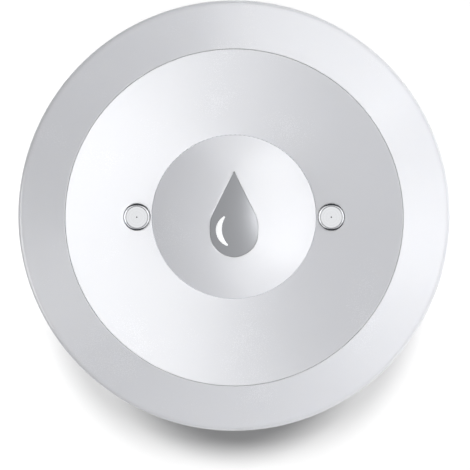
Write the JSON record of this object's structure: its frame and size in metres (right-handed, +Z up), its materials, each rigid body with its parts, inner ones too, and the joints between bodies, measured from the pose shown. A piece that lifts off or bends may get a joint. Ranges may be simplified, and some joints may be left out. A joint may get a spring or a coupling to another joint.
{
  "type": "water leak sensor",
  "caption": "Round water leak sensor for the floor, with a sloping rim, concave face, domed push button with a drop symbol, contact studs and a coin-cell door below.",
  "frame": {"origin": "centre of the floor plane under the feet", "axes": "+Z up out of the face, +Y towards the tip of the drop symbol, +X to the right of the face"},
  "size_m": [0.065, 0.065, 0.017],
  "materials": {
    "outer_shell": "fine satin",
    "dish_plate": "fine satin",
    "dish_tape": "black foam tape",
    "contact_stud_left": "turned nickel plate",
    "contact_stud_right": "turned nickel plate",
    "stud_seals": "matt",
    "button_cap": "fine satin",
    "drop_inlay": "grey metallic",
    "light_guide": "opal",
    "switch_plunger": "matt",
    "return_pad": "soft silicone",
    "base_shell": "fine satin",
    "case_seal": "silicone",
    "case_screws": "zinc plated",
    "board_screws": "zinc plated",
    "rubber_feet": "matt grey",
    "probe_screw_left": "turned nickel plate",
    "probe_screw_right": "turned nickel plate",
    "probe_seals": "matt",
    "circuit_board": "green solder mask",
    "battery_door": "fine satin",
    "door_seal": "matt",
    "cell_pad": "foam",
    "coin_cell": "nickel plate",
    "positive_contact": "tinned spring strip",
    "negative_contact": "tinned spring strip",
    "stud_clips": "gilt spring strip",
    "sounder": "matt",
    "sounder_gasket": "foam",
    "sound_membrane": "fine mesh",
    "switch_body": "matt",
    "status_lamp": "clear",
    "radio_module": "blue solder mask",
    "radio_can": "tin plate",
    "radio_aerial": "gilt trace",
    "controller_chip": "matt",
    "crystal": "plated can",
    "sounder_coil": "ferrite",
    "capacitors": "ceramic",
    "resistors": "ceramic"
  },
  "bodies": {
    "housing": {"outer_shell": "outer_shell", "dish_plate": "dish_plate", "dish_tape": "dish_tape", "contact_stud_left": "contact_stud_left", "contact_stud_right": "contact_stud_right", "stud_seals": "stud_seals", "return_pad": "return_pad", "base_shell": "base_shell", "case_seal": "case_seal", "case_screws": "case_screws", "board_screws": "board_screws", "rubber_feet": "rubber_feet", "probe_screw_left": "probe_screw_left", "probe_screw_right": "probe_screw_right", "probe_seals": "probe_seals", "circuit_board": "circuit_board", "coin_cell": "coin_cell", "positive_contact": "positive_contact", "negative_contact": "negative_contact", "stud_clips": "stud_clips", "sounder": "sounder", "sounder_gasket": "sounder_gasket", "sound_membrane": "sound_membrane", "switch_body": "switch_body", "status_lamp": "status_lamp", "radio_module": "radio_module", "radio_can": "radio_can", "radio_aerial": "radio_aerial", "controller_chip": "controller_chip", "crystal": "crystal", "sounder_coil": "sounder_coil", "capacitors": "capacitors", "resistors": "resistors"},
    "button": {"button_cap": "button_cap", "drop_inlay": "drop_inlay", "light_guide": "light_guide", "switch_plunger": "switch_plunger"},
    "battery_door": {"battery_door": "battery_door", "door_seal": "door_seal", "cell_pad": "cell_pad"}
  },
  "joints": [
    {"name": "button_press", "type": "slide", "parent": "housing", "child": "button", "axis": [0, 0, -1], "range_m": [0, 0.0004], "stiffness_N_per_m": 3000, "deforming": ["return_pad"]},
    {"name": "battery_door_turn", "type": "hinge", "parent": "housing", "child": "battery_door", "pos_m": [0, 0, 0.0008], "axis": [0, 0, -1], "range_deg": [0, 35]}
  ]
}
